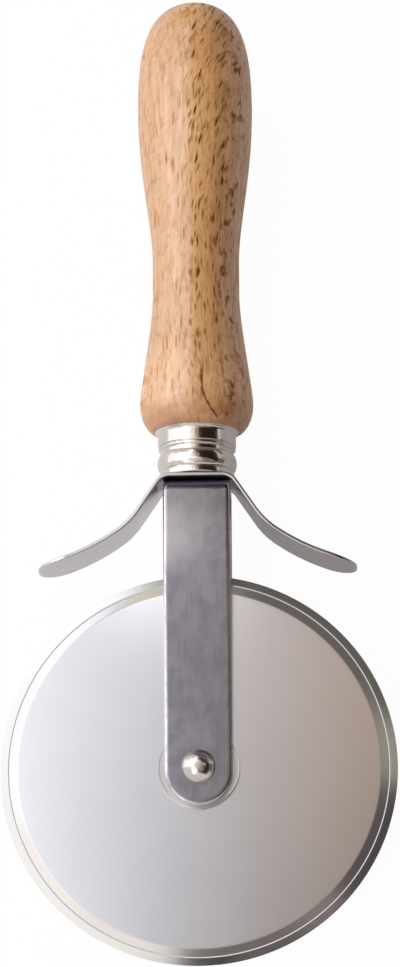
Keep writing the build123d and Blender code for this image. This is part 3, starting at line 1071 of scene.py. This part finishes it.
def make_strap_steel(name, dark, light, rubbed_colour, rubbed_share, polish, mottle, bent=False):
    """Strap steel between two tones, with grain, mottling, scratches and rubbed edges, and the fork's
    painted light and shade when bent.
    """
    material, tree, shader = finish(name)
    place = place_in_mm(tree)
    edge = put(tree, "ShaderNodeAttribute", {}, "Fac", attribute_name="from_edge")
    rubbed = use(tree, rubbed_edge, from_edge=edge, place=place, reach=1.1)
    grain = use(tree, rolled_grain, strap=strap_in_mm(tree), length=14.0, width=0.3)
    scratch = use(tree, fine_scratches, place=place, length=2.5, width=0.14)
    patch = use(tree, handling_marks, place=place, size=9.0)
    spots = noise(tree, stretch(tree, place, (0.28, 0.2, 0.28)), detail=4.0, roughness=0.55)
    grain_tone = calc(tree, "MULTIPLY", grain, 1 - mottle)
    tone = calc(tree, "MULTIPLY_ADD", ease(tree, spots, 0.3, 0.7), mottle, grain_tone)
    colour = mix(tree, ease(tree, tone, 0.2, 0.8), shade(*dark), shade(*light))
    base = ease(tree, calc(tree, "MULTIPLY_ADD", patch, 0.4, tone), 0.3, 1.1, *polish)
    # The bent fork gets its painted highlight and the painted dark on its bend.
    if bent:
        colour, base = paint_fork_light(tree, place, colour, base, rubbed_colour)
    colour = mix(tree, calc(tree, "MULTIPLY", rubbed, rubbed_share), colour, shade(*rubbed_colour))
    roughness = calc(tree, "MULTIPLY_ADD", rubbed, -0.06, base)
    height = calc(tree, "MULTIPLY_ADD", scratch, 0.35, calc(tree, "MULTIPLY_ADD", grain, 0.5, spots))
    feed_metal(tree, shader, colour, roughness, height, 0.004)
    return material


dress(fork, make_strap_steel("tumbled_fork_steel", (142, 139, 146), (164, 160, 167), (226, 223, 222),
                             rubbed_share=0.9, polish=(0.28, 0.31), mottle=0.35, bent=True))
dress(guard, make_strap_steel("satin_guard_steel", (194, 192, 193), (202, 200, 200), (218, 216, 214),
                              rubbed_share=0.6, polish=(0.22, 0.28), mottle=0.4))
print("strap finishes:", fork.active_material.name, guard.active_material.name)

# %% [markdown]
# ## The wheel's steel
# The wheel is fine satin stainless steel. It was ground while it turned, so what texture it has runs in
# rings. The rings are noise read at the distance from the axle, with the direction as a point on a small
# circle, so the pattern has no seam where the angle starts over. The bevels are ground finer and come out
# smoother than the face. Their colour is painted darker, a painted shade that dims what they mirror, and
# the step between them keeps the face's bright colour.

# %% Grind the wheel
bevel_blend = 0.25
step_start = (step_radius - 0.1, step_radius + 0.05)
step_end = (step_radius + step_width + 0.1, step_radius + step_width - 0.05)


def make_ground_steel(name, dark, light, bevel_shade_colour, polish, bevel_rough, ring_size):
    """Ground steel: fine rings round the axle, soft clouds, a few scratches, and bevels painted darker as
    painted shade.
    """
    material, tree, shader = finish(name)
    place = place_in_mm(tree)
    flat_place = stretch(tree, place, (1.0, 1.0, 0.0))
    radius = put(tree, "ShaderNodeVectorMath", {0: flat_place}, "Value", operation="LENGTH")
    way = split(tree, put(tree, "ShaderNodeVectorMath", {0: flat_place}, operation="NORMALIZE"))
    ring_radius = calc(tree, "DIVIDE", radius, ring_size)
    ring_place = put(tree, "ShaderNodeCombineXYZ", {0: ring_radius, 1: way[0], 2: way[1]})
    rings = noise(tree, ring_place, detail=4.0, roughness=0.6)
    clouds = noise(tree, stretch(tree, place, (0.05, 0.05, 0.05)), detail=3.0)
    scratch = use(tree, fine_scratches, place=place, length=5.0, width=0.15)
    patch = use(tree, handling_marks, place=place, size=22.0)
    tone = calc(tree, "MULTIPLY_ADD", clouds, 0.6, calc(tree, "MULTIPLY", rings, 0.4))
    bevel = ease(tree, radius, flat_radius - bevel_blend, flat_radius + bevel_blend)
    colour = mix(tree, ease(tree, tone, 0.3, 0.7), shade(*dark), shade(*light))
    # The bevels are painted darker, a painted shade that dims what they mirror.
    colour = mix(tree, bevel, colour, shade(*bevel_shade_colour))
    colour = mix(tree, both(tree, radius, step_start, step_end), colour, shade(*light))
    face = ease(tree, calc(tree, "MULTIPLY_ADD", patch, 0.15, tone), 0.3, 0.85, *polish)
    roughness = blend(tree, bevel, face, bevel_rough)
    height = calc(tree, "MULTIPLY_ADD", scratch, 0.25, rings)
    feed_metal(tree, shader, colour, roughness, height, 0.004)
    return material


dress(blade, make_ground_steel("ground_wheel_steel", (228, 228, 231), (230, 230, 233), (194, 193, 191),
                               polish=(0.2, 0.22), bevel_rough=0.17, ring_size=0.35))
washer_steel = make_ground_steel("washer_steel", (214, 213, 213), (220, 219, 219), (214, 213, 213),
                                 polish=(0.3, 0.34), bevel_rough=0.3, ring_size=0.3)
for side in ("front", "rear"):
    dress(bpy.data.objects[f"{side}_spacer_washer"], washer_steel)
print("wheel finish:", blade.active_material.name)

# %% [markdown]
# ## Screw, washer and bush
# The screw that holds everything to the handle sits inside the fork, with a plain washer under its
# head, and the brass bush is the sleeve that the wheel runs on. Their solids are already the right
# shape, so they stay as they are and only get a finish: bright zinc plate and turned brass, each a
# little cloudy.

# %% Finish the small hardware


def make_hardware(name, dark, light, smooth, rough):
    """Plated or turned hardware: a cloudy tone, patches and scratches."""
    material, tree, shader = finish(name)
    place = place_in_mm(tree)
    cloud = noise(tree, stretch(tree, place, (0.8, 0.8, 0.8)), detail=4.0)
    scratch = use(tree, fine_scratches, place=place, length=1.5, width=0.1)
    patch = use(tree, handling_marks, place=place, size=3.0)
    colour = mix(tree, ease(tree, cloud, 0.3, 0.7), shade(*dark), shade(*light))
    roughness = ease(tree, calc(tree, "MULTIPLY_ADD", patch, 0.5, cloud), 0.3, 1.0, smooth, rough)
    height = calc(tree, "MULTIPLY_ADD", scratch, 0.4, cloud)
    feed_metal(tree, shader, colour, roughness, height, 0.008)
    return material


zinc = make_hardware("bright_zinc", (190, 192, 196), (212, 213, 214), 0.22, 0.38)
brass = make_hardware("turned_brass", (196, 160, 92), (220, 188, 120), 0.2, 0.36)
for node, metal in (("mounting_screw", zinc), ("screw_washer", zinc), ("axle_bush", brass)):
    dress(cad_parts[node], metal)
print("hardware finishes:", zinc.name, brass.name)

# %% [markdown]
# ## Floor and background
# The cutter lies on a white table, on its rivet cap and the flare of its handle, so the table is tilted a
# little against the handle's axis. The camera sees it as almost plain white, but a share of its real
# shading stays, so that a soft shadow shows where the cutter touches it. Mirrors see a painted glow on it,
# bright on the left and dim on the right, a painted light and shadow which gives the metal a light and a
# dark side. Seen from below it is clear, so it never hides the cutter.

# %% Lay the floor
floor_slope = (flare_radius - dome_top) / flare_place
floor_reach = 9000.0
floor_gap = 0.15
table_paint = (0.9, 0.9, 0.9, 1.0)
shown_white = 0.97
mirrored_share = 0.85
# Painted light and painted shadow that mirrors see on the table: lit on the left, in shadow on the right.
lit_side_glow = (0.745, 0.705, 0.705, 1.0)
shadow_side_glow = (0.37, 0.34, 0.335, 1.0)
side_blend = 0.012


def tilted_plane(name, reach):
    """A square of the given half side that falls along Y by the floor's slope: z = -h - slope y."""
    side = np.array([-reach, reach])
    x, y = np.meshgrid(side, side)
    points = np.stack([x, y, -dome_top - floor_gap - floor_slope * y], axis=-1) * MM
    mesh = bpy.data.meshes.new(name)
    mesh.from_pydata(points.reshape(-1, 3).tolist(), [], [(0, 1, 3, 2)])
    plane = bpy.data.objects.new(name, mesh)
    bpy.context.scene.collection.objects.link(plane)
    return plane


def ray_kinds(tree):
    """Whether a ray comes from the camera, and whether it comes from a mirror or through glass."""
    ray = put(tree, "ShaderNodeLightPath", {}).node.outputs
    return ray["Is Camera Ray"], calc(tree, "MAXIMUM", ray["Is Glossy Ray"], ray["Is Transmission Ray"])


def make_floor_white():
    """White to the camera, a glow of painted light and shadow to mirrors, plain white paint to light, clear
    from behind.
    """
    material, tree, shader = finish("white_table")
    material.cycles.emission_sampling = "NONE"
    feed(tree, shader, base_color=table_paint, roughness=0.9)
    by_camera, mirrored = ray_kinds(tree)
    share = calc(tree, "MAXIMUM", calc(tree, "MULTIPLY", by_camera, shown_white),
                 calc(tree, "MULTIPLY", mirrored, mirrored_share))
    across = split(tree, put(tree, "ShaderNodeTexCoord", {}, "Object"))[0]
    table_glow = mix(tree, ease(tree, across, -side_blend, side_blend), lit_side_glow, shadow_side_glow)
    table_glow = mix(tree, by_camera, table_glow, (1, 1, 1, 1))
    glow = put(tree, "ShaderNodeEmission", {"Color": table_glow, "Strength": 1.0})
    lit = put(tree, "ShaderNodeMixShader", {0: share, 1: shader.outputs[0], 2: glow})
    behind = put(tree, "ShaderNodeNewGeometry", {}, "Backfacing")
    clear = put(tree, "ShaderNodeBsdfTransparent", {})
    shown = put(tree, "ShaderNodeMixShader", {0: behind, 1: lit, 2: clear})
    tree.links.new(shown, tree.nodes["Material Output"].inputs["Surface"])
    return material


table = tilted_plane("white_table", floor_reach)
dress(table, make_floor_white())
print("table slope:", round(math.degrees(math.atan(floor_slope)), 2), "degrees")

# %% [markdown]
# ## Lamps and cards
# Metal shows what stands round it, so a product is lit for its reflections, with lamps and with plain
# cards. A panel that stands beside the handle is given by the angles that it fills round the handle's
# axis, because a round collar mirrors an angle and not a place. A lamp's power follows from its area
# and from the glow that its mirror image should show.

# %% The lamp and card helpers
lamp_colour = (0.916, 0.951, 1.0)
unlit = (0, 0, 0, 1)


def facing(place, target):
    """Turns an object's -Z axis from its place to a target, with its Y axis along the handle."""
    away = (Vector(place) - Vector(target)).normalized()
    side = Vector((0, 1, 0)).cross(away).normalized()
    return Matrix.Translation(Vector(place)) @ Matrix((side, away.cross(side), away)).transposed().to_4x4()


def standing(low, high, distance, along):
    """A panel that fills the angles low to high round the handle: its place, its aim and its width.

    Angles are in degrees, 0 straight above the handle and plus to the right. The panel touches a
    circle of the given radius at its middle, so it is 2 d tan((high - low) / 2) wide.
    """
    middle = math.radians((low + high) / 2)
    width = 2 * distance * math.tan(math.radians((high - low) / 2))
    return (distance * math.sin(middle), along, distance * math.cos(middle)), (0, along, 0), width


def soft_lamp(name, place, target, size, glow):
    """A rectangular lamp that the camera doesn't see. Its power is pi times its area times its glow."""
    data = bpy.data.lights.new(name, "AREA")
    data.shape = "RECTANGLE"
    data.size, data.size_y = size
    data.energy = math.pi * size[0] * size[1] * glow
    data.color = lamp_colour
    lamp = bpy.data.objects.new(name, data)
    lamp.matrix_world = facing(place, target)
    lamp.visible_camera = False
    bpy.context.scene.collection.objects.link(lamp)
    return lamp


def hang(name, outline, colour, glow):
    """A flat card that only light and mirrors see.

    Its glow is a colour, or a function that builds one in the card's own node tree.
    """
    mesh = bpy.data.meshes.new(name)
    mesh.from_pydata(np.asarray(outline).tolist(), [], [list(range(len(outline)))])
    made = bpy.data.objects.new(name, mesh)
    material, tree, shader = finish(name)
    feed(tree, shader, base_color=colour, roughness=1.0, specular_ior_level=0.0)
    feed(tree, shader, emission_color=glow(tree) if callable(glow) else glow, emission_strength=1.0)
    made.data.materials.append(material)
    made.visible_camera = False
    bpy.context.scene.collection.objects.link(made)
    return made


def card(name, place, target, size, colour, glow):
    """A rectangular card turned to its target."""
    half = np.array(size) / 2
    corners = np.array([[-1, -1], [1, -1], [1, 1], [-1, 1]]) * half
    outline = [facing(place, target) @ Vector((x, y, 0)) for x, y in corners]
    return hang(name, outline, colour, glow)


# %% [markdown]
# ## Soft boxes and flags
# Two soft boxes stand on the left, a bright one in front of a wider dim one. They give the bright
# stripe on the ferrule and the light side of the wood. Veils that only mirrors see cover their ends,
# so that the wheel is blown out less when it is seen from the right. On the right a black flag gives
# the dark stripe that makes nickel look polished, a light strip draws a thin line beside it, and a
# dark grey flag gives the fork's right edge its dark line.

# %% Stand the soft boxes and the flags
box_along = 0.25
# Name, angles from and to, distance, length, glow
soft_boxes = (
    ("soft_box_core", -62.8, -13.0, 0.432, 1.16, 1.6),
    ("soft_box_rim", -100.0, -4.0, 0.442, 1.44, 0.5),
)
for name, left, right, distance, length, glow in soft_boxes:
    place, aim, width = standing(left, right, distance, box_along)
    soft_lamp(name, place, aim, (width, length), glow)

veil_distance = 0.405
veil_glow = (0.72, 0.72, 0.74, 1)
veil_low = -104.0
veil_split = -61.0
# End, places along the handle from and to, upper angle
veil_ends = (("near", -0.5, 0.03, -40.0), ("far", 0.39, 1.0, -24.0))
for end, low, high, top in veil_ends:
    for height, left, right in (("low", veil_low, veil_split), ("high", veil_split, top)):
        place, aim, width = standing(left, right, veil_distance, (low + high) / 2)
        veil = card(f"{end}_{height}_veil", place, aim, (width, high - low), unlit, veil_glow)
        veil.visible_diffuse = False
        veil.visible_shadow = False

flag_distance = 0.357
flag_black = (0.026, 0.018, 0.013, 1.0)
# Name, angles from and to, place along the handle, length, colour, glow
flags = (
    ("black_flag", 6.28, 65.0, 0.1, 0.8, flag_black, unlit),
    ("light_strip", 68.0, 73.0, 0.32, 0.36, unlit, (0.8, 0.77, 0.72, 1)),
    ("edge_flag", 65.0, 86.0, 0.0, 0.24, flag_black, (0.13, 0.113, 0.105, 1)),
)
for name, left, right, along, length, colour, glow in flags:
    place, aim, width = standing(left, right, flag_distance, along)
    card(name, place, aim, (width, length), colour, glow)
bpy.data.objects["edge_flag"].visible_diffuse = False
print("lamps:", ", ".join(light.name for light in bpy.data.lights))

# %% [markdown]
# ## The sweep card
# The wheel's face is a mirror that looks up, so its soft sweep from cool white to warm brown is the
# image of something over it. A lamp there would give one tone only, so a card in the form of a disc
# hangs there, which glows by a ramp of colours from left to right.

# %% Hang the sweep card
ring_centre = np.array([-0.005, 0.028, 0.139])
ring_points = 33
sweep_places = (-0.055, -0.02, 0.01, 0.05)
sweep_colours = ((1.05, 1.045, 1.06), (0.725, 0.725, 0.76), (0.555, 0.497, 0.475), (0.46, 0.34, 0.25))
sweep_lean = 55.0
sweep_radius = 0.066
lift_centre = -0.014
lift_reach = (0.022, 0.008)
lift_rise = (0.06, 0.09)
lift_share = 1.4


def sweep_glow(tree):
    """The disc's glow: a ramp of colours from left to right, dimmed low right and lifted at the fork.

    The ramp is multiplied by 1 + lean times the way right times the way up, and by the lift.
    """
    parts = split(tree, put(tree, "ShaderNodeTexCoord", {}, "Object"))
    start, end = sweep_places[0], sweep_places[-1]
    inputs = {"Value": parts[0], "From Min": start, "From Max": end}
    ramp = put(tree, "ShaderNodeValToRGB", {0: put(tree, "ShaderNodeMapRange", inputs)}).node
    stops = ramp.color_ramp.elements
    stops.remove(stops[0])
    for where, colour in zip(sweep_places, sweep_colours):
        share = (where - start) / (end - start)
        stop = stops[0] if share == 0 else stops.new(share)
        stop.position = share
        stop.color = (*colour, 1)
    rightwards = calc(tree, "SUBTRACT", parts[0], start)
    upwards = calc(tree, "SUBTRACT", parts[1], ring_centre[1])
    lean = calc(tree, "MULTIPLY_ADD", calc(tree, "MULTIPLY", rightwards, upwards), sweep_lean, 1.0)
    from_fork = calc(tree, "ABSOLUTE", calc(tree, "SUBTRACT", parts[0], lift_centre))
    lift = calc(tree, "MULTIPLY", ease(tree, parts[1], *lift_rise), ease(tree, from_fork, *lift_reach))
    lean = calc(tree, "MULTIPLY", lean, calc(tree, "MULTIPLY_ADD", lift, lift_share, 1.0))
    return scaled(tree, ramp.outputs[0], lean)


def overhead(name, start, end, radii, glow, share=1.0):
    """A card over the wheel, cut as a part of a ring: between two angles in degrees and two radii."""
    inner, outer = radii
    angle = np.radians(np.linspace(start, end, ring_points))
    rim = np.stack([np.cos(angle), np.sin(angle), 0 * angle], axis=-1)
    outline = rim * outer if inner == 0 else np.vstack([rim * outer, rim[::-1] * inner])
    return hang(name, outline + ring_centre * share, unlit, glow)


overhead("sweep_card", 0, 360, (0, sweep_radius), sweep_glow)
print("sweep card:", round(2000 * sweep_radius), "mm across")

# %% [markdown]
# ## The ring cards
# The bevels are tilted, so they mirror a ring round the disc. One ring of one tone would make the rim
# look flat, so each stretch of it gets a piece of ring of its own tone. Two of these pieces hang
# lower, where a smaller piece does the same and shows less in other metal.

# %% Hang the ring cards
low_share = 0.04 / ring_centre[2]
ring_radii = {"inner": (0.069, 0.097), "outer": (0.097, 0.12), "whole": (0.069, 0.12),
              "low inner": (0.05, 0.062), "low outer": (0.062, 0.0735)}
# Name, angles from and to, ring, glow
ring_cards = (
    ("beige_card", 92, 113, "whole", (1.05, 0.94, 0.78)),
    ("corner_card", 76, 92, "whole", (0.4, 0.36, 0.31)),
    ("upper_flag_inner", 33, 76, "low inner", (0.225, 0.195, 0.182)),
    ("upper_card_inner", 18, 33, "inner", (0.32, 0.29, 0.26)),
    ("upper_flag_outer", 18, 76, "low outer", (0.23, 0.21, 0.19)),
    ("light_card_inner", -4, 18, "inner", (0.47, 0.45, 0.38)),
    ("light_card_outer", -4, 18, "outer", (0.78, 0.75, 0.62)),
    ("lower_flag", -42, -4, "whole", (0.15, 0.13, 0.14)),
    ("brown_card", -58, -42, "whole", (0.42, 0.35, 0.34)),
    ("brown_card_inner", -97, -58, "inner", (0.29, 0.246, 0.24)),
    ("brown_card_outer", -80, -58, "outer", (0.24, 0.205, 0.21)),
    ("bottom_flag_outer", -97, -80, "outer", (0.03, 0.026, 0.028)),
    ("white_card", -130, -97, "whole", (1.5, 1.42, 1.33)),
    ("left_card_inner", -165, -130, "inner", (1.72, 1.62, 1.54)),
    ("left_card_outer", -215, -130, "outer", (1.58, 1.52, 1.47)),
)
for name, start, end, ring, glow in ring_cards:
    share = low_share if ring.startswith("low") else 1.0
    overhead(name, start, end, ring_radii[ring], (*glow, 1), share)
print("ring cards:", len(ring_cards))

# %% [markdown]
# ## The room
# What no lamp or card covers shows the room. The camera sees it as plain white, like the page that
# the picture stands on. Mirrors see bands: light at the far left, black round the soft boxes, and
# warm greys to the right, with a dark corner beyond the handle's end and a light end before the
# wheel. Everything else gets an even fill.

# %% Paint the room
fill_strength = 0.5
room_left = (0.85, 0.85, 0.86, 1)
# Where a band starts and where it is full, from -1 at the left to 1 at the right, and its tone
room_bands = (
    (-0.82, -0.72, (0, 0, 0)),
    (-0.12, -0.02, (0.261, 0.219, 0.191)),
    (0.0, 0.15, (0.5, 0.46, 0.45)),
    (0.9, 1.0, (0.32, 0.27, 0.26)),
)
room_corner = (0.11, 0.085, 0.12, 1)
room_front = (0.72, 0.67, 0.64, 1)
world = bpy.data.worlds.new("studio")
bpy.context.scene.world = world
world.use_nodes = True
world.cycles.sampling_method = "NONE"
tree = world.node_tree
by_camera, mirrored = ray_kinds(tree)
parts = split(tree, put(tree, "ShaderNodeTexCoord", {}, "Generated"))
room = room_left
for low, high, band in room_bands:
    room = mix(tree, ease(tree, parts[0], low, high), room, (*band, 1))
corner = calc(tree, "MULTIPLY", ease(tree, parts[1], 0.4, 0.65), ease(tree, parts[0], -0.25, -0.05))
room = mix(tree, corner, room, room_corner)
room = mix(tree, ease(tree, parts[1], -0.35, -0.65), room, room_front)
seen = calc(tree, "MAXIMUM", by_camera, mirrored)
backdrop = mix(tree, by_camera, room, (1, 1, 1, 1))
shown = put(tree, "ShaderNodeBackground", {"Color": backdrop, "Strength": 1.0})
fill = put(tree, "ShaderNodeBackground", {"Color": (1, 1, 1, 1), "Strength": fill_strength})
tree.links.new(put(tree, "ShaderNodeMixShader", {0: seen, 1: fill, 2: shown}),
               tree.nodes["World Output"].inputs["Surface"])
print("room bands:", 1 + len(room_bands))

# %% [markdown]
# ## Camera
# The picture is a tall one, 400 by 967. The camera looks almost straight down on the wheel, tipped
# towards the wheel's free edge, with a long lens that keeps the wheel round. Its tilt, swing and
# roll come from the wheel's ellipse, the guard and the handle's line, and there is no lens shift.

# %% Set the camera
camera_target = Vector((0.701, 74.174, 0.0)) * MM
camera_distance = 1.516
camera_tilt = math.radians(14.343)
camera_swing = math.radians(2.213)
camera_roll = math.radians(0.36)
focal_length = 221.73
sensor_width = 36.0
back = Vector((math.sin(camera_swing) * math.cos(camera_tilt), -math.sin(camera_tilt),
               math.cos(camera_swing) * math.cos(camera_tilt)))
level = Vector((0, 1, 0)).cross(back).normalized()
upright = back.cross(level)
right = math.cos(camera_roll) * level - math.sin(camera_roll) * upright
above = math.sin(camera_roll) * level + math.cos(camera_roll) * upright
lens = bpy.data.cameras.new("portrait")
lens.lens = focal_length
lens.sensor_width = sensor_width
camera = bpy.data.objects.new("portrait", lens)
camera.matrix_world = (Matrix.Translation(camera_target + back * camera_distance)
                       @ Matrix((right, above, back)).transposed().to_4x4())
bpy.context.scene.collection.objects.link(camera)
bpy.context.scene.camera = camera
bpy.context.scene.view_settings.view_transform = "Standard"
print("camera at", [round(value, 3) for value in camera.location])
